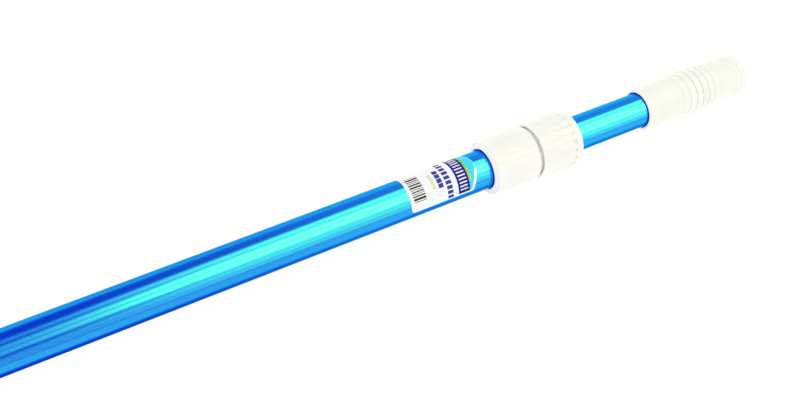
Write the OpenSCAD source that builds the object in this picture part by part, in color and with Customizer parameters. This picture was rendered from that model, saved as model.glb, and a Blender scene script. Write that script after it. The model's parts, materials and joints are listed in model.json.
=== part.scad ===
// Telescopic pole with a twist lock: an outer tube, an inner tube that slides out of it, a two-part
// collar that clamps the inner tube, and a hand grip.
// The pole lies along X with its axis at y = 0, z = 0. The origin is the centre of the outer tube's
// open tool end, and the grip is at the +X end. Angles about the axis run from +Y towards +Z.

/* [Tubes] */
// Outside diameter of the outer tube
outer_d = 32; // [31:0.5:36]
// Wall of the outer tube
outer_wall = 1.2; // [1:0.1:1.4]
// Wall of the inner tube
inner_wall = 1.1; // [0.9:0.1:1.4]
// Radial gap between the two tubes
tube_play = 0.2; // [0.15:0.05:0.25]
// Length of each tube
tube_len = 1000; // [700:50:2500]
// Length of inner tube that shows between the nut and the grip
exposed_len = 72.7; // [2:0.1:200]

/* [Tool end] */
// Depth of the socket in the tool end, up to the rolled stop bead
socket_len = 112; // [100:1:130]
// Diameter of the holes for a tool's spring clip
clip_hole_d = 7; // [5:0.5:8]
// Distance of the first clip hole from the tool end
clip_x1 = 25; // [20:1:35]
// Distance of the second clip hole from the tool end
clip_x2 = 75; // [60:1:85]

/* [Lock] */
// Length of the lock body's shell
body_len = 41; // [38:1:50]
// Gap between the lock body and the nut when the pole is locked
lock_gap = 3.2; // [2.5:0.1:4]
// Length of the nut
nut_len = 38.8; // [38:0.2:44]
// Number of flutes round the collar
flutes = 20; // [16:1:22]
// Lead of the lock's thread
lead = 3; // [3:0.5:3.5]

/* [Grip] */
// Length of the grip with its cap
grip_len = 105.3; // [102:0.1:115]
// Number of grip grooves round the swelling
grooves = 6; // [3:1:6]
// Distance from one grip groove to the next
groove_pitch = 6.7; // [5:0.1:7]

/* [Hidden] */

// Fits, broken edges and cutters
run_fit = 0.05;      // radial clearance of a ring that slides on the inner tube
seat_fit = 0.02;     // clearance of a piece seated for good
face_gap = 0.1;      // axial gap between two faces that turn or slide
edge = 0.3;          // broken edge of a cut tube
corner = 0.8;        // chamfer or rounding of a moulded end
over = 1;            // how far a cutter reaches past what it cuts
relief = 0.8;        // gap between a tube and the mouth of a piece moulded round it
relief_len = 3;      // depth of that gap
ring_fn = 96;
bar_fn = 48;

// Tube radii
ro = outer_d / 2;
ro_bore = ro - outer_wall;
ri = ro_bore - tube_play;
ri_bore = ri - inner_wall;

// Stations along the pole
socket_depth = 30;   // length of outer tube held inside the lock body
body_x = tube_len - socket_depth;
neck_x = body_x + body_len;
nut_x = neck_x + lock_gap;
nut_end_x = nut_x + nut_len;
grip_x = nut_end_x + exposed_len;
grip_end_x = grip_x + grip_len;
cap_len = 1.8;       // thickness of the cap's disc
seam_x = grip_end_x - cap_len;
cap_step = 2.1;      // part of the cap that stops against the end of the inner tube
inner_end_x = seam_x - cap_step;
inner_x = inner_end_x - tube_len;

// The side of the pole that carries rivets and screw, away from the label
back_side = -43.5;

// Tool end
bead_depth = 0.8;
bead_len = 5;
bead_flat = 1.6;

// Label
label_end_x = body_x - 14;
label_len = 62.4;
label_wrap = 148;    // angle that it covers
label_middle = 114.5;
label_thick = 0.12;
label_round = 22.8;

// Lock body and its nose
body_r0 = ro + 5.9;
body_r1 = ro + 6.4;
mouth_x = body_x - 0.8; // the mouth stands proud of the rim, as a shallow cone
rim_x = body_x + 0.2;
rim_round = 1.3;
line_w = 0.4;        // thin line between the cone and the rim
line_deep = 0.3;
body_flute_start = body_x + 4;
body_flute_r = 7;
body_flute_deep = 0.15;
body_flute_turn = 0;
nose_r = ro + 2.9;
nose_end = nut_x + 18.3;
cone_start = nose_end - 11.5;
cone_r = ri + 1.3;
cone_slope = tan(8);
cone_end_r = cone_r + (nose_end - cone_start) * cone_slope;

// Rivets
rivet_xs = [body_x + 11, body_x + 24];
rivet_r = 1.6;
rivet_head_r = 3.2;
rivet_top_r = 1.9;
rivet_head_h = 1;
rivet_seat_r = body_r1 - 1.8;

// Nut
crest_r = ro + 4;    // crest of the body's thread
nut_r = ro + 7.4;
nut_flute_start = nut_x + 3;
nut_flute_r = 2.2;
nut_flute_deep0 = 0.25;
nut_flute_deep1 = 0.95;
nut_flute_turn = 7.5;
notch_len = 2.2;     // square notch at the lip end of each flute
notch_w = 2.2;
notch_deep = 1.6;
counterbore_r = crest_r + 0.8;
counterbore_len = 2.8;
nut_bore_r = nose_r + 0.3;
chamber_start = nut_x + 18.8;
shoulder_x = nut_x + 27.9;
mouth_r = ri + 0.5;
lip_x = nut_end_x - 6.6;
lip_round = 3;

// Thread
nut_root_r = crest_r + 0.25;
chamber_r = nut_root_r + 0.25;
foot_sink = 0.4;     // how far the foot of a ridge is sunk in what carries it
ridge_start = nut_x + 3.8;
ridge_end = nose_end - 2.5;
ridge_root = 1.9;    // width of the ridge at its foot
ridge_tip = 0.9;     // width of the ridge at its crest
thread_play = 0.25;  // gap on each flank
steps = 24;          // sections in one turn

// Rings inside the nut
thrust_len = 1.5;
thrust_x = shoulder_x - face_gap - thrust_len;
thrust_bore_r = ri + 0.3;
wiper_x = nut_x + 32.8;
wiper_len = 3.4;
wiper_r = ri + 2.4;

// Collet
slit_count = 6;
slit_w = 1.2;
collet_front = thrust_x - 2 * face_gap;
collet_ring = 4;     // part of it that the slits leave whole
flange_x = nose_end + 1.1;
flange_r = nose_r - 0.3;
taper_x = cone_start + 0.5;
cone_play = 0.15;

// Stop ring and its groove
stop_x = inner_x + 110;
stop_w = 5.6;
stop_r = ro_bore - 0.04;
stop_gap_w = 3;
stop_groove_r = ri - 0.6;
groove_blend = 1;    // length over which the wall rolls in to the groove

// Guide plug and its pin
plug_r = ri - 0.1;
plug_head = 4;
plug_len = 22;
plug_wall = 2.5;
plug_chamfer = 1;
pin_r = 1.5;
pin_x = inner_x + 12;
pin_sink = 0.3;

// Grip, measured from its mouth
mouth_cone = 0.4;    // length of the shallow cone round its mouth
mouth_round = 1.4;
mouth_ring_len = 6.8;
mouth_blend = 1.5;
ring_r = ri + 3.3;
waist_r = ri + 2.8;
swell_start = 26.3;
swell_len = 54;
swell_h = 1.6;
flare_at = grip_len - 2.5;
flare_r = ri + 3.8;
neck_at = flare_at - 15.5; // the narrowest part, before the flare
neck_dip = 0.4;
outline_step = 2;
groove_start = 35.8;
groove_w = 1.3;
groove_deep = 1.1;   // of the middle grooves
groove_end_deep = 0.5; // of the first and last groove
fine_start = flare_at - 11.2;
fine_pitch = 3.5;
fine_count = 3;
fine_w = 0.8;
fine_deep = 0.5;
cutter_r = flare_r + 5;

// Screw that holds the grip
screw_x = grip_x + 19.5;
screw_r = 1.5;
screw_tip_r = ri_bore - 2.5;
sink_deep = 1.6;     // depth of its countersink under the waist
head_sink = 0.1;

// Cap
cap_x = seam_x + seat_fit;
cap_r = flare_r - 0.2;
cap_round = 1;
cap_crown = 0.6;     // how much the middle of its face stands proud
spigot_len = 14;
spigot_r = ri_bore - run_fit;
spigot_bore_r = spigot_r - 2.4;
spigot_chamfer = 0.6;

// Points of a round corner in an outline, with its centre at [r, x]; 0 is outwards and 90 is +X
function arc(r, x, radius, from, to) =
    [for (i = [0:4]) [r + radius * cos(from + (to - from) * i / 4),
        x + radius * sin(from + (to - from) * i / 4)]];

// Turns an outline of [radius, station] points round the pole's axis
module turned(outline) {
    rotate([0, 90, 0])
        rotate_extrude($fn = ring_fn)
            polygon(outline);
}

module ring(x, length, r_in, r_out) {
    translate([x, 0, 0])
        rotate([0, 90, 0])
            difference() {
                cylinder(h = length, r = r_out, $fn = ring_fn);
                translate([0, 0, -over])
                    cylinder(h = length + 2 * over, r = r_in, $fn = ring_fn);
            }
}

// A round bar that points outwards from radius r0 to r1, at an angle about the axis
module spoke(x, angle, r, r0, r1, r_top = undef) {
    translate([x, 0, 0])
        rotate([angle - 90, 0, 0])
            translate([0, 0, r0])
                cylinder(h = r1 - r0, r1 = r, r2 = is_undef(r_top) ? r : r_top, $fn = bar_fn);
}

// Shallow flutes cut along a collar of radius r, from depth deep0 at x0 to deep1 at x1
module flute_cuts(x0, x1, r, deep0, deep1, flute_r, turn) {
    tilt = atan((deep1 - deep0) / (x1 - x0));
    for (i = [0:flutes - 1])
        rotate([turn + i * 360 / flutes, 0, 0])
            translate([x0, 0, r + flute_r - deep0])
                rotate([0, 90 + tilt, 0])
                    cylinder(h = (x1 - x0) / cos(tilt), r = flute_r, $fn = bar_fn);
}

// One section of the thread: a trapezium with its crest at r_tip and its foot at r_foot
function thread_section(x, angle, r_foot, r_tip, grow) =
    [for (p = [[r_foot, -1, ridge_root], [r_foot, 1, ridge_root], [r_tip, 1, ridge_tip],
        [r_tip, -1, ridge_tip]])
        [x + p[1] * (p[2] / 2 + grow), p[0] * cos(angle), p[0] * sin(angle)]];

// A right-hand helical ridge from x0 to x1, in step with the lead wherever it starts
module thread(x0, x1, r_foot, r_tip, grow) {
    count = round((x1 - x0) / lead * steps);
    points = [for (i = [0:count])
        each thread_section(x0 + i * lead / steps, (x0 - nut_x) / lead * 360 + i * 360 / steps,
            r_foot, r_tip, grow)];
    sides = [for (i = [0:count - 1])
        for (k = [0:3])
            each [[4 * i + k, 4 * i + 4 + k, 4 * i + (k + 1) % 4],
                [4 * i + (k + 1) % 4, 4 * i + 4 + k, 4 * i + 4 + (k + 1) % 4]]];
    last = 4 * count;
    polyhedron(points = points,
        faces = concat(sides, [[0, 1, 2, 3], [last + 3, last + 2, last + 1, last]]));
}

module outer_tube() {
    bead_mid = socket_len + bead_len / 2;
    bead_end = socket_len + bead_len;
    color("dodgerblue")
        difference() {
            turned([
                [ro_bore, edge], [ro_bore + edge, 0], [ro - edge, 0], [ro, edge],
                [ro, socket_len], [ro - bead_depth, bead_mid - bead_flat / 2],
                [ro - bead_depth, bead_mid + bead_flat / 2], [ro, bead_end],
                [ro, tube_len - edge], [ro - edge, tube_len], [ro_bore + edge, tube_len],
                [ro_bore, tube_len - edge], [ro_bore, bead_end],
                [ro_bore - bead_depth, bead_mid + bead_flat / 2],
                [ro_bore - bead_depth, bead_mid - bead_flat / 2], [ro_bore, socket_len]]);
            for (x = [clip_x1, clip_x2])
                spoke(x, 0, clip_hole_d / 2, -ro - over, ro + over);
            for (x = rivet_xs)
                spoke(x, back_side, rivet_r + seat_fit, ro_bore - over, ro + over);
        }
}

// Wound part of the way round the tube, with a rounded end towards the collar
module label() {
    color("white")
        intersection() {
            rotate([0, 90, 0])
                rotate([0, 0, label_middle + 90 - label_wrap / 2])
                    rotate_extrude(angle = label_wrap, $fn = ring_fn)
                        translate([ro, label_end_x - label_len])
                            square([label_thick, label_len]);
            union() {
                spoke(label_end_x - label_round, label_middle, label_round, 0, ro + over);
                rotate([label_middle - 90, 0, 0])
                    translate([label_end_x - label_len - over, -label_round, 0])
                        cube([label_len + over - label_round, 2 * label_round, ro + over]);
            }
        }
}

module lock_body() {
    rim_r = body_r0 - rim_round;
    color("ivory") {
        difference() {
            turned([
                [ro + relief + edge, mouth_x], [rim_r - line_w, rim_x],
                [rim_r - line_w / 2, rim_x + line_deep],
                each arc(rim_r, rim_x + rim_round, rim_round, -90, 0),
                [body_r1, neck_x - corner], [body_r1 - corner, neck_x],
                [nose_r, neck_x], [nose_r, nose_end], [cone_end_r, nose_end], [cone_r, cone_start],
                [ri + run_fit, cone_start], [ri + run_fit, tube_len + seat_fit],
                [ro + seat_fit, tube_len + seat_fit], [ro + seat_fit, mouth_x + relief_len],
                [ro + relief, mouth_x + relief_len], [ro + relief, mouth_x + edge]]);
            flute_cuts(body_flute_start, neck_x + over, (body_r0 + body_r1) / 2, body_flute_deep,
                body_flute_deep, body_flute_r, body_flute_turn);
            for (x = rivet_xs) {
                spoke(x, back_side, rivet_r + seat_fit, ro - over, body_r1);
                spoke(x, back_side, rivet_head_r + edge, rivet_seat_r, body_r1 + over);
            }
        }
        thread(ridge_start, ridge_end, nose_r - foot_sink, crest_r, 0);
    }
}

module lock_rivets() {
    color("silver")
        for (x = rivet_xs) {
            spoke(x, back_side, rivet_r, ro_bore + run_fit, rivet_seat_r + rivet_head_h / 2);
            spoke(x, back_side, rivet_head_r, rivet_seat_r, rivet_seat_r + rivet_head_h, rivet_top_r);
        }
}

module collet() {
    tip_r = cone_r + (taper_x - cone_start) * cone_slope - cone_play;
    root_r = cone_end_r - cone_play;
    color("gainsboro")
        difference() {
            turned([
                [ri + run_fit, taper_x], [tip_r, taper_x], [root_r, nose_end], [root_r, flange_x],
                [flange_r, flange_x], [flange_r, collet_front], [ri + run_fit, collet_front]]);
            for (i = [0:slit_count - 1])
                rotate([i * 360 / slit_count, 0, 0])
                    translate([taper_x - over, -slit_w / 2, 0])
                        cube([collet_front - collet_ring - taper_x + over, slit_w, nut_r]);
        }
}

module thrust_ring() {
    color("dimgray")
        ring(thrust_x, thrust_len, thrust_bore_r, nose_r);
}

module lock_nut() {
    color("ivory")
        difference() {
            turned([
                [counterbore_r + edge, nut_x], [nut_r - corner, nut_x], [nut_r, nut_x + corner],
                each arc(nut_r - lip_round, nut_end_x - lip_round, lip_round, 0, 90),
                [mouth_r + edge, nut_end_x], [mouth_r, nut_end_x - edge],
                [mouth_r, wiper_x + wiper_len], [wiper_r, wiper_x + wiper_len],
                [wiper_r, wiper_x], [mouth_r, wiper_x], [mouth_r, shoulder_x],
                [chamber_r, shoulder_x], [chamber_r, chamber_start],
                [nut_bore_r, chamber_start], [nut_bore_r, nut_x + counterbore_len],
                [counterbore_r, nut_x + counterbore_len], [counterbore_r, nut_x + edge]]);
            flute_cuts(nut_flute_start, lip_x, nut_r, nut_flute_deep0, nut_flute_deep1, nut_flute_r,
                nut_flute_turn);
            for (i = [0:flutes - 1])
                rotate([nut_flute_turn + i * 360 / flutes, 0, 0])
                    translate([lip_x - notch_len, -notch_w / 2, nut_r - notch_deep])
                        cube([notch_len, notch_w, notch_deep + over]);
            thread(nut_x + counterbore_len - over, chamber_start + over, nut_bore_r - foot_sink,
                nut_root_r, thread_play);
        }
}

module wiper_ring() {
    color("black")
        ring(wiper_x + run_fit, wiper_len - 2 * run_fit, ri + run_fit, wiper_r - run_fit);
}

module stop_ring() {
    color("gainsboro")
        difference() {
            ring(stop_x, stop_w, stop_groove_r + run_fit, stop_r);
            translate([stop_x - over, -stop_gap_w / 2, 0])
                cube([stop_w + 2 * over, stop_gap_w, ro]);
        }
}

module inner_tube() {
    groove_x = stop_x - face_gap;
    groove_end = stop_x + stop_w + face_gap;
    color("dodgerblue")
        difference() {
            turned([
                [ri_bore, inner_x], [ri - edge, inner_x], [ri, inner_x + edge],
                [ri, groove_x], [stop_groove_r, groove_x], [stop_groove_r, groove_end],
                [ri, groove_end], [ri, inner_end_x - edge], [ri - edge, inner_end_x],
                [ri_bore, inner_end_x], [ri_bore, groove_end + groove_blend],
                [stop_groove_r - inner_wall, groove_end], [stop_groove_r - inner_wall, groove_x],
                [ri_bore, groove_x - groove_blend]]);
            spoke(pin_x, 0, pin_r + seat_fit, -ri - over, ri + over);
            spoke(screw_x, back_side, screw_r + seat_fit, 0, ri + over);
        }
}

module guide_plug() {
    plug_spigot_r = ri_bore - run_fit;
    color("gainsboro")
        difference() {
            turned([
                [0, inner_x - plug_head], [plug_r - plug_chamfer, inner_x - plug_head],
                [plug_r, inner_x - plug_head + plug_chamfer], [plug_r, inner_x - seat_fit],
                [plug_spigot_r, inner_x - seat_fit], [plug_spigot_r, inner_x + plug_len - plug_chamfer],
                [plug_spigot_r - plug_chamfer, inner_x + plug_len],
                [ri_bore - plug_wall, inner_x + plug_len], [ri_bore - plug_wall, inner_x],
                [0, inner_x]]);
            spoke(pin_x, 0, pin_r + seat_fit, -ri - over, ri + over);
        }
}

module plug_pin() {
    color("silver")
        spoke(pin_x, 0, pin_r, pin_sink - ri, ri - pin_sink);
}

// Radius of the grip at a distance s from its mouth, from the mouth ring's end to the flare
function grip_r(s) =
    s < swell_start ? waist_r :
    s < swell_start + swell_len ? waist_r + swell_h * pow(sin(180 * (s - swell_start) / swell_len), 2) :
    s < neck_at ? waist_r - neck_dip * (1 - pow((neck_at - s) / (neck_at - swell_start - swell_len), 2)) :
    waist_r - neck_dip + (flare_r - waist_r + neck_dip) * pow((s - neck_at) / (flare_at - neck_at), 2);

// Depth of a grip groove
function groove_depth(i) =
    groove_end_deep + (groove_deep - groove_end_deep) * sin(180 * i / (grooves - 1));

module grip() {
    color("ivory")
        difference() {
            turned([
                [ri + relief + edge, grip_x],
                each arc(ring_r - mouth_round, grip_x + mouth_cone + mouth_round, mouth_round, -90, 0),
                [ring_r, grip_x + mouth_ring_len - mouth_blend],
                for (s = [mouth_ring_len, each [swell_start:outline_step:flare_at]])
                    [grip_r(s), grip_x + s],
                [flare_r, seam_x], [ri + seat_fit, seam_x], [ri + seat_fit, grip_x + relief_len],
                [ri + relief, grip_x + relief_len], [ri + relief, grip_x + edge]]);
            for (i = [0:grooves - 1])
                let (s = groove_start + i * groove_pitch)
                    ring(grip_x + s, groove_w, grip_r(s) - groove_depth(i), cutter_r);
            for (i = [0:fine_count - 1])
                let (s = fine_start + i * fine_pitch)
                    ring(grip_x + s, fine_w, grip_r(s) - fine_deep, cutter_r);
            spoke(screw_x, back_side, screw_r + seat_fit, 0, cutter_r);
            spoke(screw_x, back_side, screw_r, waist_r - sink_deep, waist_r + over,
                screw_r + sink_deep + over);
        }
}

module grip_cap() {
    face_x = grip_end_x - cap_crown;
    color("ivory")
        turned([
            [0, cap_x - cap_step], [spigot_bore_r, cap_x - cap_step],
            [spigot_bore_r, cap_x - spigot_len], [spigot_r - spigot_chamfer, cap_x - spigot_len],
            [spigot_r, cap_x - spigot_len + spigot_chamfer], [spigot_r, cap_x - cap_step],
            [ri - run_fit, cap_x - cap_step], [ri - run_fit, cap_x], [cap_r, cap_x],
            each arc(cap_r - cap_round, face_x - cap_round, cap_round, 0, 90),
            for (k = [0.75:-0.25:0])
                [(cap_r - cap_round) * k, grip_end_x - cap_crown * k * k]]);
}

module grip_screw() {
    color("silver") {
        spoke(screw_x, back_side, screw_r, screw_tip_r, waist_r - sink_deep / 2);
        spoke(screw_x, back_side, screw_r, waist_r - sink_deep + head_sink, waist_r - head_sink,
            screw_r + sink_deep - 3 * head_sink);
    }
}

outer_tube();
label();
lock_body();
lock_rivets();
collet();
thrust_ring();
lock_nut();
wiper_ring();
stop_ring();
inner_tube();
guide_plug();
plug_pin();
grip();
grip_cap();
grip_screw();
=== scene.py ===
"""Telescopic pole with a twist lock: detailed pieces, materials, studio light and camera.

Lengths are in millimetres and become metres when a mesh is made. The pole lies along X, and an angle
about its axis runs in degrees from +Y towards +Z.
"""
import json
import math

import bmesh
import bpy
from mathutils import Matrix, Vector


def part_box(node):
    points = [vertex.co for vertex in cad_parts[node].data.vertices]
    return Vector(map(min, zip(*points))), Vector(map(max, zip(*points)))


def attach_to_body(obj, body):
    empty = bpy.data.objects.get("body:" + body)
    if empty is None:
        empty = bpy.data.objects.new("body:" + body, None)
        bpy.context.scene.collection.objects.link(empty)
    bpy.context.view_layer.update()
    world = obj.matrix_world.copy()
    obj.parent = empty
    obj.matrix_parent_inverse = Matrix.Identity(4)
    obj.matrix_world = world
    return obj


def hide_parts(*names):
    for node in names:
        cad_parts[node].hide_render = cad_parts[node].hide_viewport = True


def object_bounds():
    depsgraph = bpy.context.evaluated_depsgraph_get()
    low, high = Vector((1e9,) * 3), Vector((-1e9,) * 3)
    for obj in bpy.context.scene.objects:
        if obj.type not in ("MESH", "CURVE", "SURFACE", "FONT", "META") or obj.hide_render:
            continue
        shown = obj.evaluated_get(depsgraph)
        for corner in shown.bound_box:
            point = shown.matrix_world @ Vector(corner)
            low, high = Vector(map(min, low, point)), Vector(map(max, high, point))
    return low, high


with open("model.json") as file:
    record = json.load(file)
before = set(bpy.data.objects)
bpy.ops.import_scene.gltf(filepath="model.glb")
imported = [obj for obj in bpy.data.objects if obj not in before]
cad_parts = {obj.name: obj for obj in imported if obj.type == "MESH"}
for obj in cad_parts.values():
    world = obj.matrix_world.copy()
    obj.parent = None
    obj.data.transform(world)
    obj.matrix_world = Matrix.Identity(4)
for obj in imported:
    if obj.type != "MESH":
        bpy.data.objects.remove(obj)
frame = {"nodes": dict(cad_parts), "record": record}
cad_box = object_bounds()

MM = 0.001
MOUNTS = {mount["name"]: mount for mount in frame["record"]["mounts"]}


# ---------------------------------------------------------------- sizes from the frame


def span(node):
    """First station, last station and largest radius of a CAD node, in mm."""
    low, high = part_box(node)
    radius = max(math.hypot(v.co.y, v.co.z) for v in frame["nodes"][node].data.vertices)
    return low.x / MM, high.x / MM, radius / MM


def middle(node):
    """Station of a CAD node's middle, in mm."""
    low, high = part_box(node)
    return (low.x + high.x) / 2 / MM


TUBE_X0, TUBE_X1, TUBE_R = span("outer_tube")
INNER_X0, INNER_X1, INNER_R = span("inner_tube")
MOUTH_X0, NOSE_X1, BODY_R = span("lock_body")
NUT_X0, NUT_X1, NUT_R = span("lock_nut")
GRIP_X0, GRIP_X1, _ = span("grip")
CAP_X0, CAP_X1, CAP_R = span("grip_cap")
LABEL_X0, LABEL_X1, LABEL_R = span("label")
STOP_X0, STOP_X1, _ = span("stop_ring")
WIPER_X0, WIPER_X1, WIPER_R = span("wiper_ring")
SOCKET_R = MOUNTS["tool_socket"]["dims"]["r_mm"]
SOCKET_LEN = MOUNTS["tool_socket"]["dims"]["length_mm"]
CLIP_HOLES = [MOUNTS[name] for name in ("clip_hole_near", "clip_hole_far")]

BACK_SIDE = -43.5     # angle of the rivets and the screw
FIT = 0.05            # clearance of seated and sliding pieces
EDGE = 0.3            # broken edge of a cut tube
CORNER = 0.8          # rounding of a moulded end
RELIEF = 0.8          # gap between a tube and the mouth of a piece moulded round it
RELIEF_LEN = 3        # depth of that gap

# Tubes
BEAD_LEN = 5          # rolled bead at the bottom of the tool socket
BEAD_DEPTH = 0.8
INNER_WALL = 1.1
STOP_GROOVE_R = INNER_R - 0.6
GROOVE_PLAY = 0.1     # gap between the stop ring and each side of its groove
PIN_HOLE_R = 1.52     # holes of the plug pin and of the grip screw
RIVET_HOLE_R = 1.65

# Lock
BODY_X0 = MOUTH_X0 + 0.8            # the body's mouth stands proud of its rim, as a shallow cone
RIM_X = BODY_X0 + 0.2
RIM_ROUND = 1.3
RIVET_INSET = 3.2     # from the end of the rivets' box to the middle of a rivet
RIVET_SEAT_R = BODY_R - 1.8
RIVET_RECESS_R = 3.5
BODY_FLUTE_DEEP = (0.32, 0.32)      # at its two ends
BODY_FLUTE_R = 3      # of the round cutter that a flute's section follows
NECK_X = NUT_X0 - 3.2
BODY_R0 = BODY_R - 0.5
NOSE_R = TUBE_R + 2.9
RIDGE_X0 = NUT_X0 + 3.8
RIDGE_X1 = NOSE_X1 - 2.5
CONE_X = NOSE_X1 - 11.5
CONE_R = INNER_R + 1.3
CONE_END_R = CONE_R + (NOSE_X1 - CONE_X) * math.tan(math.radians(8))
CREST_R = TUBE_R + 4
FLUTES = 20
LEAD = 3              # of the thread
CHAMBER_X = NUT_X0 + 18.8
SHOULDER_X = NUT_X0 + 27.9
MOUTH_R = INNER_R + 0.5
LIP_X = NUT_X1 - 6.6
LIP_ROUND = 3
NUT_TURN = 7.5        # angle from the top to the nearest flute
NUT_FLUTE_DEEP = (0.3, 0.95)        # at its start and at the lip
NUT_FLUTE_R = 2.2
NOTCH_LEN = 2.2       # square notch at the lip end of each flute
NOTCH_W = 2.2
NOTCH_DEEP = 1.6
COUNTERBORE_R = CREST_R + 0.8
COUNTERBORE_LEN = 2.8

# Grip, measured from its mouth
RING_R = INNER_R + 3.3
WAIST_R = INNER_R + 2.8
MOUTH_CONE = 0.4      # length of the shallow cone round its mouth
MOUTH_ROUND = 1.4
RING_LEN = 6.8        # plain ring at the mouth
SWELL = (26.3, 54, 1.6)             # start, length and height of the swelling
FLARE_AT = GRIP_X1 - GRIP_X0 - 0.7
FLARE_R = INNER_R + 3.8
NECK_AT = FLARE_AT - 15.5
NECK_DIP = 0.4
GROOVE_BLEND = 0.1    # half of the width of a groove's sloping side
SCREW_SINK = 1.6      # depth of the screw's countersink
# Grooves: start, width and depth
GRIP_GROOVES = [(35.8 + 6.7 * i, 1.3, 0.7 + 0.65 * math.sin(math.pi * i / 5)) for i in range(6)]
FINE_GROOVES = [(FLARE_AT - 11.2 + 3.5 * i, 0.8, 0.5) for i in range(3)]

# Label
LABEL_MIDDLE = 114.5  # angle of its middle line
LABEL_HALF = 74       # half of the angle that it covers
LABEL_ROUND = 22.8    # radius of its rounded end
LABEL_CORNER = 3


# ---------------------------------------------------------------- mesh tools


def arc(x, r, radius, start, end, count=5):
    """Outline points of a round corner centred at (x, r); 0 is along +X and 90 is outwards."""
    turns = [math.radians(start + (end - start) * i / count) for i in range(count + 1)]
    return [(x + radius * math.cos(t), r + radius * math.sin(t)) for t in turns]


def steps(start, end, size):
    """Stations from start to end, both included, about size apart."""
    count = max(1, round(abs(end - start) / size))
    return [start + (end - start) * i / count for i in range(count + 1)]


def smooth(value):
    """Eases from 0 to 1 while the value goes from 0 to 1."""
    value = min(1.0, max(0.0, value))
    return value * value * (3 - 2 * value)


def make_object(name, vertices, faces):
    """A shaded, closed mesh object in metres from vertices in mm."""
    mesh = bpy.data.meshes.new(name)
    mesh.from_pydata([Vector(v) * MM for v in vertices], [], faces)
    work = bmesh.new()
    work.from_mesh(mesh)
    bmesh.ops.remove_doubles(work, verts=work.verts, dist=1e-7)
    bmesh.ops.dissolve_degenerate(work, edges=work.edges, dist=1e-8)
    bmesh.ops.recalc_face_normals(work, faces=work.faces)
    work.to_mesh(mesh)
    work.free()
    piece = bpy.data.objects.new(name, mesh)
    bpy.context.scene.collection.objects.link(piece)
    shade(mesh)
    return piece


def shade(mesh):
    """Smooth shading with sharp edges."""
    mesh.polygons.foreach_set("use_smooth", [True] * len(mesh.polygons))
    mesh.set_sharp_from_angle(angle=math.radians(34))


def turned(name, outline, sides, reshape=None):
    """Turns a closed outline of (station, radius) points about X; reshape may change a radius."""
    vertices = []
    for x, r in outline:
        for side in range(sides):
            angle = 360 * side / sides
            radius = reshape(x, r, angle) if reshape else r
            t = math.radians(angle)
            vertices.append((x, radius * math.cos(t), radius * math.sin(t)))
    faces = []
    for row in range(len(outline)):
        here, there = row * sides, (row + 1) % len(outline) * sides
        for side in range(sides):
            after = (side + 1) % sides
            faces.append((here + side, here + after, there + after, there + side))
    return make_object(name, vertices, faces)


def slab(shape, r0, r1):
    """Vertices and faces of a thin curved plate; shape is a list of (angle, first x, last x)."""
    vertices = []
    for angle, x0, x1 in shape:
        t = math.radians(angle)
        for x, r in ((x0, r0), (x1, r0), (x1, r1), (x0, r1)):
            vertices.append((x, r * math.cos(t), r * math.sin(t)))
    faces = [(0, 1, 2, 3), tuple(len(vertices) - 1 - i for i in range(4))]
    for row in range(len(shape) - 1):
        for k in range(4):
            a, b = 4 * row + k, 4 * row + (k + 1) % 4
            faces.append((a, b, b + 4, a + 4))
    return vertices, faces


def radial_cutter(x, angle, outline, sides=40):
    """A solid turned about the line that points outwards at an angle; outline is (height, radius)."""
    t = math.radians(angle)
    outward = Vector((0, math.cos(t), math.sin(t)))
    along = Vector((1, 0, 0))
    across = outward.cross(along)
    outline = [(outline[0][0], 0)] + outline + [(outline[-1][0], 0)]
    vertices = []
    for height, r in outline:
        for side in range(sides):
            turn = 2 * math.pi * side / sides
            vertices.append(outward * height + along * (x + r * math.cos(turn)) + across * r * math.sin(turn))
    faces = [(row * sides + side, row * sides + (side + 1) % sides,
              (row + 1) * sides + (side + 1) % sides, (row + 1) * sides + side)
             for row in range(len(outline) - 1) for side in range(sides)]
    return make_object("cutter", vertices, faces)


def drill(piece, cutters):
    """Cuts the cutters out of the piece and removes them."""
    for cutter in cutters:
        cut = piece.modifiers.new("hole", "BOOLEAN")
        cut.operation = "DIFFERENCE"
        cut.solver = "EXACT"
        cut.object = cutter
    result = piece.evaluated_get(bpy.context.evaluated_depsgraph_get())
    mesh = bpy.data.meshes.new_from_object(result)
    piece.modifiers.clear()
    piece.data = mesh
    shade(mesh)
    for cutter in cutters:
        bpy.data.objects.remove(cutter)


def place(piece, body, slot, material, *nodes):
    """Gives a piece its body and material, and hides the CAD nodes that it stands for; slot is not used."""
    piece.data.materials.clear()
    piece.data.materials.append(material)
    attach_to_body(piece, body)
    if nodes:
        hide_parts(*nodes)


# ---------------------------------------------------------------- materials


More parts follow.
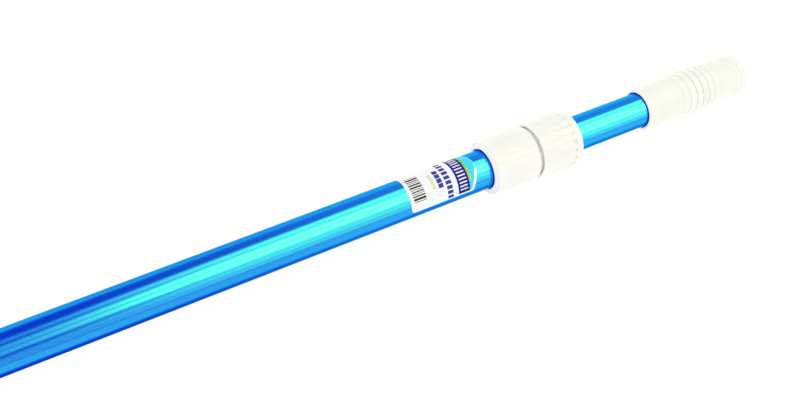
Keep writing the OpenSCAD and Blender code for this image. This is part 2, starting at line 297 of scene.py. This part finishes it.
class Nodes:
    """A new material with one Principled shader, and short ways to add nodes to it."""

    def __init__(self, name):
        self.material = bpy.data.materials.new(name)
        self.material.use_nodes = True
        self.tree = self.material.node_tree
        self.shader = self.tree.nodes["Principled BSDF"]
        self.coords = self.add("ShaderNodeTexCoord").outputs["Object"]

    def add(self, kind, **settings):
        node = self.tree.nodes.new(kind)
        for key, value in settings.items():
            setattr(node, key, value)
        return node

    def join(self, source, target):
        self.tree.links.new(source, target)

    def feed(self, source, name):
        self.join(source, self.shader.inputs[name])

    def set(self, **values):
        for key, value in values.items():
            self.shader.inputs[key.replace("_", " ")].default_value = value

    def noise(self, scale, detail=3.0, roughness=0.55, stretch=(1, 1, 1)):
        """Noise of so many cells to the metre, stretched by a scale on each axis."""
        mapping = self.add("ShaderNodeMapping")
        mapping.inputs["Scale"].default_value = stretch
        self.join(self.coords, mapping.inputs["Vector"])
        noise = self.add("ShaderNodeTexNoise")
        noise.inputs["Scale"].default_value = scale
        noise.inputs["Detail"].default_value = detail
        noise.inputs["Roughness"].default_value = roughness
        self.join(mapping.outputs["Vector"], noise.inputs["Vector"])
        return noise.outputs["Fac"]

    def ramp(self, source, *stops):
        """A colour ramp on a value; each stop is (position, colour or grey)."""
        ramp = self.add("ShaderNodeValToRGB")
        elements = ramp.color_ramp.elements
        while len(elements) < len(stops):
            elements.new(0.5)
        for element, (position, colour) in zip(elements, stops):
            element.position = position
            grey = isinstance(colour, (int, float))
            element.color = (colour,) * 3 + (1,) if grey else tuple(colour) + (1,)
        self.join(source, ramp.inputs["Fac"])
        return ramp.outputs["Color"]

    def bump(self, height, strength, distance):
        """Bump of a height source; distance is in mm."""
        bump = self.add("ShaderNodeBump")
        bump.inputs["Strength"].default_value = strength
        bump.inputs["Distance"].default_value = distance * MM
        self.join(height, bump.inputs["Height"])
        if self.shader.inputs["Normal"].is_linked:
            self.join(self.shader.inputs["Normal"].links[0].from_socket, bump.inputs["Normal"])
        self.join(bump.outputs["Normal"], self.shader.inputs["Normal"])


def anodised():
    """Drawn tube with clear blue anodising: mirror-like, with fine lines along it."""
    m = Nodes("blue_anodised")
    lines = m.noise(700, detail=1, stretch=(0.004, 1, 1))
    broad = m.noise(60, detail=2, stretch=(0.05, 1, 1))
    m.set(Metallic=1.0, Specular_Tint=(0.4, 0.6, 1.0, 1))
    m.feed(m.ramp(lines, (0.3, (0.013, 0.175, 0.88)), (0.7, (0.017, 0.20, 0.95))), "Base Color")
    m.feed(m.ramp(broad, (0.3, 0.11), (0.7, 0.17)), "Roughness")
    m.bump(lines, 0.2, 0.01)
    return m.material


def moulded(name, dark, light, rough, grain, bump):
    """Moulded plastic with a slight mottle and a fine skin."""
    m = Nodes(name)
    mottle = m.noise(45, detail=3)
    skin = m.noise(grain, detail=4, roughness=0.6)
    m.feed(m.ramp(mottle, (0.3, dark), (0.7, light)), "Base Color")
    m.feed(m.ramp(skin, (0.25, rough - 0.06), (0.75, rough + 0.06)), "Roughness")
    m.set(Specular_IOR_Level=0.15)
    m.bump(skin, 0.2, bump)
    return m.material


def zinc():
    """Zinc-plated steel, brushed and slightly cloudy."""
    m = Nodes("steel")
    cloud = m.noise(400, detail=4)
    brush = m.noise(2500, detail=2, stretch=(1, 0.1, 0.1))
    m.set(Metallic=1.0)
    m.feed(m.ramp(cloud, (0.3, (0.55, 0.56, 0.58)), (0.7, (0.74, 0.74, 0.76))), "Base Color")
    m.feed(m.ramp(brush, (0.3, 0.24), (0.7, 0.4)), "Roughness")
    m.bump(brush, 0.15, 0.02)
    return m.material


def ink(name, dark, light):
    """Printing ink on film, with the faint unevenness of a print."""
    m = Nodes(name)
    grain = m.noise(1800, detail=2)
    m.set(Roughness=0.4, Specular_IOR_Level=0.05)
    m.feed(m.ramp(grain, (0.3, dark), (0.7, light)), "Base Color")
    return m.material


def fade_ink(name, first, last, angle0, angle1):
    """Ink that changes colour with the angle about the pole."""
    m = Nodes(name)
    split = m.add("ShaderNodeSeparateXYZ")
    m.join(m.coords, split.inputs["Vector"])
    angle = m.add("ShaderNodeMath", operation="ARCTAN2")
    m.join(split.outputs["Z"], angle.inputs[0])
    m.join(split.outputs["Y"], angle.inputs[1])
    part = m.add("ShaderNodeMapRange")
    part.inputs["From Min"].default_value = math.radians(angle0)
    part.inputs["From Max"].default_value = math.radians(angle1)
    m.join(angle.outputs["Value"], part.inputs["Value"])
    m.feed(m.ramp(part.outputs["Result"], (0, first), (1, last)), "Base Color")
    m.set(Roughness=0.4, Specular_IOR_Level=0.05)
    return m.material


BLUE = anodised()
WHITE = moulded("white_plastic", (0.865, 0.86, 0.83), (0.905, 0.90, 0.87), 0.5, 1500, 0.02)
GRIP_WHITE = moulded("grip_plastic", (0.85, 0.86, 0.81), (0.89, 0.90, 0.85), 0.55, 1200, 0.03)
NYLON = moulded("nylon", (0.66, 0.65, 0.58), (0.76, 0.75, 0.68), 0.45, 1500, 0.02)
DARK_NYLON = moulded("dark_nylon", (0.018, 0.018, 0.02), (0.03, 0.03, 0.033), 0.4, 1500, 0.02)
RUBBER = moulded("rubber", (0.004, 0.004, 0.004), (0.01, 0.01, 0.01), 0.7, 900, 0.04)
STEEL = zinc()
FILM = ink("label_film", (0.86, 0.87, 0.88), (0.92, 0.93, 0.93))
BLACK_INK = ink("black_ink", (0.012, 0.012, 0.014), (0.03, 0.03, 0.032))
NAVY_INK = ink("navy_ink", (0.004, 0.004, 0.26), (0.008, 0.008, 0.34))
TEXT_INK = ink("violet_ink", (0.03, 0.03, 0.26), (0.06, 0.06, 0.36))
PALE_INK = ink("pale_ink", (0.62, 0.60, 0.30), (0.75, 0.72, 0.45))
CYAN_INK = ink("cyan_ink", (0.04, 0.66, 0.86), (0.06, 0.76, 0.93))
LIME_INK = fade_ink("lime_ink", (0.60, 0.55, 0.05), (0.22, 0.55, 0.02), 155, 85)


# ---------------------------------------------------------------- tubes


def rolled(x, start, length, depth):
    """Depth at station x of a smooth bead rolled into a tube."""
    part = (x - start) / length
    return depth * math.sin(math.pi * part) ** 2 if 0 < part < 1 else 0


def outer_tube():
    """The fixed tube, with its socket, bead and clip holes."""
    def bead(x):
        return rolled(x, SOCKET_LEN, BEAD_LEN, BEAD_DEPTH)

    holes = [(hole["pos_m"][0] / MM, hole["dims"]["r_mm"]) for hole in CLIP_HOLES]
    stations = [TUBE_X0 + EDGE]
    for x, r in holes:
        stations += [x - 2 * r, x - r - 1, x + r + 1, x + 2 * r]
    stations += steps(SOCKET_LEN, SOCKET_LEN + BEAD_LEN, 0.4) + steps(130, TUBE_X1 - EDGE, 90)
    outside = [(x, TUBE_R - bead(x)) for x in stations]
    inside = [(x, SOCKET_R - bead(x)) for x in reversed(stations)]
    inner_edge = SOCKET_R + EDGE
    outer_edge = TUBE_R - EDGE
    outline = (outside + arc(TUBE_X1 - EDGE, outer_edge, EDGE, 90, 0, 3)
               + arc(TUBE_X1 - EDGE, inner_edge, EDGE, 0, -90, 3)
               + inside + arc(TUBE_X0 + EDGE, inner_edge, EDGE, 270, 180, 3)
               + arc(TUBE_X0 + EDGE, outer_edge, EDGE, 180, 90, 3))
    tube = turned("outer_tube_drawn", outline, 144)
    cutters = [radial_cutter(x, angle, [(0, r), (TUBE_R + 2, r)]) for x, r in holes for angle in (0, 180)]
    drill(tube, cutters)
    place(tube, "fixed_section", "blue_anodised", BLUE, "outer_tube")


def inner_tube():
    """The sliding tube, with the stop ring's groove rolled in it."""
    bore_r = INNER_R - INNER_WALL
    groove_bore_r = STOP_GROOVE_R - INNER_WALL
    groove_x0, groove_x1 = STOP_X0 - GROOVE_PLAY, STOP_X1 + GROOVE_PLAY
    outline = (arc(INNER_X0 + EDGE, INNER_R - EDGE, EDGE, 180, 90, 3)
               + [(groove_x0 - 0.1, INNER_R), (groove_x0, STOP_GROOVE_R),
                  (groove_x1, STOP_GROOVE_R), (groove_x1 + 0.1, INNER_R)]
               + [(x, INNER_R) for x in steps(500, INNER_X1 - 5, 90)]
               + arc(INNER_X1 - EDGE, INNER_R - EDGE, EDGE, 90, 0, 3)
               + [(INNER_X1, bore_r), (groove_x1 + 1, bore_r), (groove_x1, groove_bore_r),
                  (groove_x0, groove_bore_r), (groove_x0 - 1, bore_r), (INNER_X0, bore_r)])
    tube = turned("inner_tube_drawn", outline, 144)
    pin_x, screw_x = middle("plug_pin"), middle("grip_screw")
    hole = [(0, PIN_HOLE_R), (INNER_R + 2, PIN_HOLE_R)]
    drill(tube, [radial_cutter(pin_x, 0, hole), radial_cutter(pin_x, 180, hole),
                 radial_cutter(screw_x, BACK_SIDE, hole)])
    place(tube, "inner_section", "blue_anodised", BLUE, "inner_tube")


# ---------------------------------------------------------------- label


def label_end(angle):
    """Station of the label's rounded end at an angle from its middle."""
    across = TUBE_R * math.sin(math.radians(angle))
    return LABEL_X1 - LABEL_ROUND + math.sqrt(LABEL_ROUND ** 2 - across ** 2)


def label_start(angle):
    """Station of the label's straight end, with its two corners rounded."""
    past = math.radians(abs(angle) - LABEL_HALF) * TUBE_R + LABEL_CORNER
    return LABEL_X0 + (LABEL_CORNER - math.sqrt(max(0, LABEL_CORNER ** 2 - past ** 2)) if past > 0 else 0)


def printed(name, material, level, bands):
    """Joins bands of ink; each is a list of (angle from the label's middle, first x, last x)."""
    thick = 0.012
    r0 = LABEL_R + level * thick - 0.004
    vertices, faces = [], []
    for band in bands:
        shape = [(LABEL_MIDDLE + a, x0, x1) for a, x0, x1 in band]
        part_vertices, part_faces = slab(shape, r0, r0 + thick)
        faces += [tuple(i + len(vertices) for i in face) for face in part_faces]
        vertices += part_vertices
    piece = make_object(name, vertices, faces)
    place(piece, "fixed_section", "label_film", material)


def block(a0, a1, first, last):
    """A rectangle of ink; first and last are distances from the label's start."""
    return [(a, LABEL_X0 + first, LABEL_X0 + last) for a in steps(a0, a1, 2)]


def label():
    """The film and its print, which is all plain shapes."""
    angles = steps(-LABEL_HALF, LABEL_HALF, 1)
    sheet = [(LABEL_MIDDLE + a, label_start(a), label_end(a)) for a in angles]
    vertices, faces = slab(sheet, TUBE_R, LABEL_R)
    place(make_object("label_sheet", vertices, faces), "fixed_section", "label_film", FILM, "label")

    # Bars of uneven widths
    bars = []
    angle = -33.0
    for width in (1.8, 5.6, 3, 2, 4.6, 5, 2, 3.4, 2, 3.8, 6, 2):
        bars.append(block(angle, angle + width, 3, 13.9))
        angle += width + 3.3
    printed("label_bars", BLACK_INK, 1, bars)

    # Small pale marks, and two columns of plain dashes
    printed("label_marks", PALE_INK, 1, [block(a, a + 5, 21, 24) for a in steps(-18, 21, 7.8)])
    short = [block(a, a + 12.5, 26.4, 30.7) for a in steps(-26, 17, 14.3)]
    tall = [block(a, a + 10, 32.9, 37.9) for a in steps(-69, 59.7, 14.3)]
    printed("label_dashes", TEXT_INK, 1, short + tall)

    # Dark panel with plain white stripes on it
    panel_len = 53
    panel_end = LABEL_X0 + panel_len
    inked = steps(-72, 69, 1.5)
    panel = [(a, LABEL_X0 + 42.6, min(panel_end, label_end(a) - 0.4)) for a in inked]
    printed("label_panel", NAVY_INK, 1, [panel])
    printed("label_stripes", FILM, 2, [block(a, a + 4, 44.4, 51.2) for a in steps(-57, 55, 10.2)])

    # Rounded field at the end, whose border widens, with a plain lime band beside the panel
    field = []
    for a in inked:
        end = label_end(a) - 0.3 - 2.2 * smooth((a - 2) / 20)
        if end > panel_end + 0.4:
            field.append((a, panel_end, end))
    printed("label_field", CYAN_INK, 1, [field])
    printed("label_band", LIME_INK, 2, [block(-55, 39, panel_len, panel_len + 2)])


# ---------------------------------------------------------------- lock


def off_flute(r, angle, turn):
    """Distance along a collar's surface to the middle of the nearest flute."""
    pitch = 360 / FLUTES
    return abs(r * math.radians((angle - 90 - turn + pitch / 2) % pitch - pitch / 2))


def flute(x, r, angle, start, end, deep, cutter, turn):
    """Depth of the nearest flute at a point of a collar; deep is the flute's depth at its two ends."""
    if not start < x < end:
        return 0
    side = min(cutter, off_flute(r, angle, turn))
    first, last = deep
    depth = first + (last - first) * (x - start) / (end - start)
    return max(0, depth - cutter + math.sqrt(cutter ** 2 - side ** 2))


def ridge(x, angle, grow=0):
    """How much of the thread's height is at a point, 0 to 1."""
    turn = (x - NUT_X0) / LEAD - angle / 360
    off = abs(turn - round(turn)) * LEAD
    return min(1, max(0, (0.95 + grow - off) / 0.5))


def lock_body():
    """The rear half of the collar, with the thread on its nose."""
    rim_r = BODY_R0 - RIM_ROUND
    skirt = steps(BODY_X0 + 4, NECK_X - CORNER, 3)
    shell_r = [BODY_R0 + (BODY_R - BODY_R0) * (x - BODY_X0) / (NECK_X - BODY_X0) for x in skirt]
    bore = TUBE_R + FIT
    stop_x = TUBE_X1 + FIT
    outline = ([(MOUTH_X0 + RELIEF_LEN, bore), (MOUTH_X0 + RELIEF_LEN, TUBE_R + RELIEF),
                (MOUTH_X0 + EDGE, TUBE_R + RELIEF), (MOUTH_X0, TUBE_R + RELIEF + EDGE),
                (RIM_X, rim_r - 0.5), (RIM_X + 0.35, rim_r + 0.3), (RIM_X + 1.1, rim_r + 0.2)]
               + arc(RIM_X + RIM_ROUND, rim_r, RIM_ROUND, 115, 90, 3)
               + [(BODY_X0 + 3, BODY_R0)]
               + list(zip(skirt, shell_r))
               + arc(NECK_X - CORNER, BODY_R - CORNER, CORNER, 90, 0)
               + [(NECK_X, NOSE_R + 0.3), (NECK_X + 0.3, NOSE_R)]
               + [(x, NOSE_R) for x in steps(RIDGE_X0 - 0.3, RIDGE_X1 + 0.3, 0.3)]
               + [(NOSE_X1 - 0.2, NOSE_R), (NOSE_X1, NOSE_R - 0.2), (NOSE_X1, CONE_END_R), (CONE_X, CONE_R),
                  (CONE_X, INNER_R + FIT), (stop_x, INNER_R + FIT), (stop_x, bore)])

    def shape(x, r, angle):
        if r > CREST_R + 1 and x > BODY_X0 + 2.5:
            return r - flute(x, r, angle, BODY_X0 + 3.5, NECK_X + 1, BODY_FLUTE_DEEP, BODY_FLUTE_R, 0)
        if r == NOSE_R and RIDGE_X0 < x < RIDGE_X1:
            return r + (CREST_R - NOSE_R) * ridge(x, angle)
        return r

    body = turned("lock_body_moulded", outline, 320, shape)
    rivets_x0, rivets_x1, _ = span("lock_rivets")
    hole = [(TUBE_R - 1, RIVET_HOLE_R), (RIVET_SEAT_R, RIVET_HOLE_R),
            (RIVET_SEAT_R, RIVET_RECESS_R), (BODY_R + 2, RIVET_RECESS_R)]
    drill(body, [radial_cutter(x, BACK_SIDE, hole)
                 for x in (rivets_x0 + RIVET_INSET, rivets_x1 - RIVET_INSET)])
    place(body, "fixed_section", "white_plastic", WHITE, "lock_body")


def lock_nut():
    """The nut, with flutes and notches outside and the mating thread inside."""
    bore_r = NOSE_R + 0.3
    root_r = CREST_R + 0.25
    chamber_r = root_r + 0.25
    flutes_x = NUT_X0 + 3
    notch_x = LIP_X - NOTCH_LEN
    outline = ([(NUT_X0 + EDGE, COUNTERBORE_R), (NUT_X0, COUNTERBORE_R + EDGE)]
               + arc(NUT_X0 + CORNER, NUT_R - CORNER, CORNER, 180, 90)
               + [(flutes_x - 0.1, NUT_R)] + [(x, NUT_R) for x in steps(flutes_x + 0.1, notch_x - 0.05, 3)]
               + [(x, NUT_R) for x in (notch_x + 0.05, LIP_X - 0.05, LIP_X + 0.05)]
               + arc(NUT_X1 - LIP_ROUND, NUT_R - LIP_ROUND, LIP_ROUND, 90, 0, 8)
               + arc(NUT_X1 - EDGE, MOUTH_R + EDGE, EDGE, 0, -90, 3)
               + [(WIPER_X1 + FIT, MOUTH_R), (WIPER_X1 + FIT, WIPER_R + FIT), (WIPER_X0 - FIT, WIPER_R + FIT),
                  (WIPER_X0 - FIT, MOUTH_R), (SHOULDER_X, MOUTH_R), (SHOULDER_X, chamber_r),
                  (CHAMBER_X, chamber_r)]
               + [(x, bore_r) for x in steps(CHAMBER_X - 0.01, NUT_X0 + COUNTERBORE_LEN, 0.3)]
               + [(NUT_X0 + COUNTERBORE_LEN, COUNTERBORE_R)])

    def shape(x, r, angle):
        if r == NUT_R and notch_x < x < LIP_X and off_flute(r, angle, NUT_TURN) < NOTCH_W / 2:
            return r - NOTCH_DEEP
        if r == NUT_R:
            return r - flute(x, r, angle, flutes_x, LIP_X, NUT_FLUTE_DEEP, NUT_FLUTE_R, NUT_TURN)
        if r == bore_r:
            return r + (root_r - bore_r) * ridge(x, angle, 0.25)
        return r

    place(turned("lock_nut_moulded", outline, 320, shape), "nut", "white_plastic", WHITE, "lock_nut")


# ---------------------------------------------------------------- grip


def grip_radius(s):
    """Radius of the grip at a distance from its mouth, without its grooves."""
    start, length, height = SWELL
    if s < start:
        return WAIST_R
    if s < start + length:
        return WAIST_R + height * math.sin(math.pi * (s - start) / length) ** 2
    if s < NECK_AT:
        return WAIST_R - NECK_DIP * (1 - ((NECK_AT - s) / (NECK_AT - start - length)) ** 2)
    low = WAIST_R - NECK_DIP
    return low + (FLARE_R - low) * ((min(s, FLARE_AT) - NECK_AT) / (FLARE_AT - NECK_AT)) ** 2


def grip():
    """The hand grip, with its mouth ring, swelling, grooves and flare."""
    grooves = GRIP_GROOVES + FINE_GROOVES
    stations = steps(RING_LEN + 1, FLARE_AT, 1)
    for start, width, _ in grooves:
        for side in (start, start + width):
            stations += [side - GROOVE_BLEND, side, side + GROOVE_BLEND]
    points = []
    for s in sorted(set(stations)):
        deep = 0
        for start, width, depth in grooves:
            inside = min(s - start, start + width - s) + GROOVE_BLEND
            deep += depth * smooth(inside / (2 * GROOVE_BLEND))
        points.append((GRIP_X0 + s, grip_radius(s) - deep))
    bore = INNER_R + FIT
    outline = (arc(GRIP_X0 + MOUTH_CONE + MOUTH_ROUND, RING_R - MOUTH_ROUND, MOUTH_ROUND, 180, 90, 8)
               + arc(GRIP_X0 + RING_LEN - 1.4, RING_R - CORNER, CORNER, 90, 45, 3)
               + [(GRIP_X0 + RING_LEN, WAIST_R + 0.1)] + points
               + [(GRIP_X1 - 0.2, FLARE_R), (GRIP_X1, FLARE_R - 0.2), (GRIP_X1, bore),
                  (GRIP_X0 + RELIEF_LEN, bore), (GRIP_X0 + RELIEF_LEN, INNER_R + RELIEF),
                  (GRIP_X0 + EDGE, INNER_R + RELIEF), (GRIP_X0, INNER_R + RELIEF + EDGE)])
    piece = turned("grip_moulded", outline, 144)
    hole = [(INNER_R - 1, PIN_HOLE_R), (WAIST_R - SCREW_SINK, PIN_HOLE_R), (WAIST_R + 1, SCREW_SINK + 2.5)]
    drill(piece, [radial_cutter(middle("grip_screw"), BACK_SIDE, hole)])
    place(piece, "inner_section", "grip_plastic", GRIP_WHITE, "grip")


def grip_cap():
    """The crowned cap, with a hollow plug that sits in the tube."""
    bore = INNER_R - INNER_WALL - FIT
    wall = 2.4
    flange_x = GRIP_X1 + 0.02
    plug_x = flange_x - 2.1
    crown = 0.6
    rim_round = 1
    flat_r = CAP_R - rim_round
    outline = ([(plug_x, 0), (plug_x, bore - wall), (CAP_X0, bore - wall), (CAP_X0, bore - 0.6),
                (CAP_X0 + 0.6, bore), (plug_x, bore), (plug_x, INNER_R - FIT), (flange_x, INNER_R - FIT),
                (flange_x, CAP_R - 0.1), (flange_x + 0.1, CAP_R)]
               + arc(CAP_X1 - crown - rim_round, flat_r, rim_round, 90, 0, 8)
               + [(CAP_X1 - crown * k * k, flat_r * k) for k in (0.9, 0.75, 0.6, 0.45, 0.3, 0.15, 0)])
    place(turned("grip_cap_moulded", outline, 144), "inner_section", "grip_plastic", GRIP_WHITE, "grip_cap")


# ---------------------------------------------------------------- pieces kept from the CAD


def finish_cad_nodes():
    """Gives the CAD nodes that stay their materials."""
    looks = {"lock_rivets": STEEL, "plug_pin": STEEL, "grip_screw": STEEL, "collet": NYLON,
             "stop_ring": NYLON, "guide_plug": NYLON, "thrust_ring": DARK_NYLON, "wiper_ring": RUBBER}
    for name, material in looks.items():
        node = frame["nodes"][name]
        for slot in node.material_slots:
            slot.material = material


# ---------------------------------------------------------------- stage, light and camera


def floor():
    """A plain white light table under the pole, out of sight of reflections."""
    size = 12
    height = cad_box[0][2] - 0.0002
    corners = [(-size, -size, height), (size, -size, height), (size, size, height), (-size, size, height)]
    mesh = bpy.data.meshes.new("floor")
    mesh.from_pydata(corners, [], [(0, 1, 2, 3)])
    table = bpy.data.objects.new("floor", mesh)
    bpy.context.scene.collection.objects.link(table)
    material = bpy.data.materials.new("table")
    material.use_nodes = True
    tree = material.node_tree
    shader = tree.nodes["Principled BSDF"]
    shader.inputs["Base Color"].default_value = (0.2, 0.2, 0.2, 1)
    shader.inputs["Roughness"].default_value = 1
    shader.inputs["Specular IOR Level"].default_value = 0
    shader.inputs["Emission Color"].default_value = (1, 1, 1, 1)
    shader.inputs["Emission Strength"].default_value = 0.9
    mesh.materials.append(material)
    table.visible_glossy = False


def studio():
    """Even white light, and for reflections a dome of soft boxes that run along the pole."""
    world = bpy.data.worlds.new("studio")
    bpy.context.scene.world = world
    world.use_nodes = True
    world.cycles.sampling_method = "NONE"
    tree = world.node_tree
    background = tree.nodes["Background"]

    def attach(socket, source):
        if isinstance(source, (int, float)):
            socket.default_value = source
        else:
            tree.links.new(source, socket)

    def calc(operation, *sources):
        node = tree.nodes.new("ShaderNodeMath")
        node.operation = operation
        for socket, source in zip(node.inputs, sources):
            attach(socket, source)
        return node.outputs[0]

    def step_between(source, start, end, low, high):
        node = tree.nodes.new("ShaderNodeMapRange")
        node.interpolation_type = "SMOOTHSTEP"
        for socket, value in zip(node.inputs, (source, start, end, low, high)):
            attach(socket, value)
        return node.outputs[0]

    coords = tree.nodes.new("ShaderNodeTexCoord")
    split = tree.nodes.new("ShaderNodeSeparateXYZ")
    tree.links.new(coords.outputs["Generated"], split.inputs["Vector"])
    turn = calc("MULTIPLY", calc("ARCTAN2", split.outputs["Z"], split.outputs["Y"]), 180 / math.pi)
    along = split.outputs["X"]
    grip_end = step_between(along, 0.12, 0.32, 0, 1)

    # Soft boxes: angle about the pole, half width, soft edge, and level at the tool end and the grip end
    boxes = [(4, 26, 22, 1.6, 1.2), (88, 8, 10, 0.9, 2.5), (125, 47, 18, 0, 3.2), (118, 9, 8, 1.2, 9),
             (141.5, 9.5, 8, 1.4, 9), (183, 16, 12, 1.2, 2.5), (226.5, 23.5, 24, 1.8, 1.3)]
    total = step_between(along, 0.12, 0.5, 0.2, 1.05)
    for angle, half, soft, tool_level, grip_level in boxes:
        away = calc("ABSOLUTE", calc("WRAP", calc("SUBTRACT", turn, angle), 180, -180))
        lit = step_between(away, half + soft / 2, half - soft / 2, 0, 1)
        level = calc("ADD", tool_level, calc("MULTIPLY", grip_end, grip_level - tool_level))
        total = calc("ADD", total, calc("MULTIPLY", lit, level))
    # Only reflections with no diffuse bounce show the dome, which a blue card fills between its boxes
    path = tree.nodes.new("ShaderNodeLightPath")
    direct = calc("LESS_THAN", path.outputs["Diffuse Depth"], 0.5)
    seen = calc("MULTIPLY", path.outputs["Is Glossy Ray"], direct)
    blue = calc("MINIMUM", calc("ADD", calc("MULTIPLY", total, 0.18), 0.6), 0.98)
    # Everything else gets an even light, which is stronger from the tool end
    towards_tool = calc("POWER", calc("MAXIMUM", calc("MULTIPLY", along, -1), 0), 2)
    even = calc("ADD", calc("MULTIPLY", towards_tool, 0.75), 0.91)
    colour = tree.nodes.new("ShaderNodeCombineColor")
    for socket, level in zip(colour.inputs, (total, total, blue)):
        tree.links.new(calc("ADD", calc("MULTIPLY", calc("SUBTRACT", level, even), seen), even), socket)
    tree.links.new(colour.outputs["Color"], background.inputs["Color"])
    background.inputs["Strength"].default_value = 1


def key_light():
    """A large soft light above the tool end, on the camera's side."""
    light = bpy.data.lights.new("key", "AREA")
    light.shape = "RECTANGLE"
    light.size = 1.2
    light.size_y = 0.8
    light.energy = 1.2
    lamp = bpy.data.objects.new("key", light)
    bpy.context.scene.collection.objects.link(lamp)
    target = Vector((BODY_X0 * MM, 0, 0))
    lamp.location = target + Vector((-0.8, -0.4, 1.35))
    lamp.rotation_euler = (target - lamp.location).to_track_quat("-Z", "Y").to_euler()
    lamp.visible_glossy = False


def camera():
    """A camera above the pole's -Y side, looking down at the lock and on towards the grip."""
    azimuth, elevation = math.radians(31.14), math.radians(39.38)
    data = bpy.data.cameras.new("camera")
    data.lens = 60.27
    data.sensor_width = 36
    eye = bpy.data.objects.new("camera", data)
    bpy.context.scene.collection.objects.link(eye)
    eye.location = Vector((BODY_X0 - 492.0, -686.0, 652.5)) * MM
    look = Vector((math.sin(azimuth) * math.cos(elevation), math.cos(azimuth) * math.cos(elevation),
                   -math.sin(elevation)))
    eye.rotation_euler = look.to_track_quat("-Z", "Y").to_euler()
    bpy.context.scene.camera = eye


outer_tube()
inner_tube()
label()
lock_body()
lock_nut()
grip()
grip_cap()
finish_cad_nodes()
floor()
studio()
key_light()
camera()
bpy.context.scene.view_settings.view_transform = "Standard"
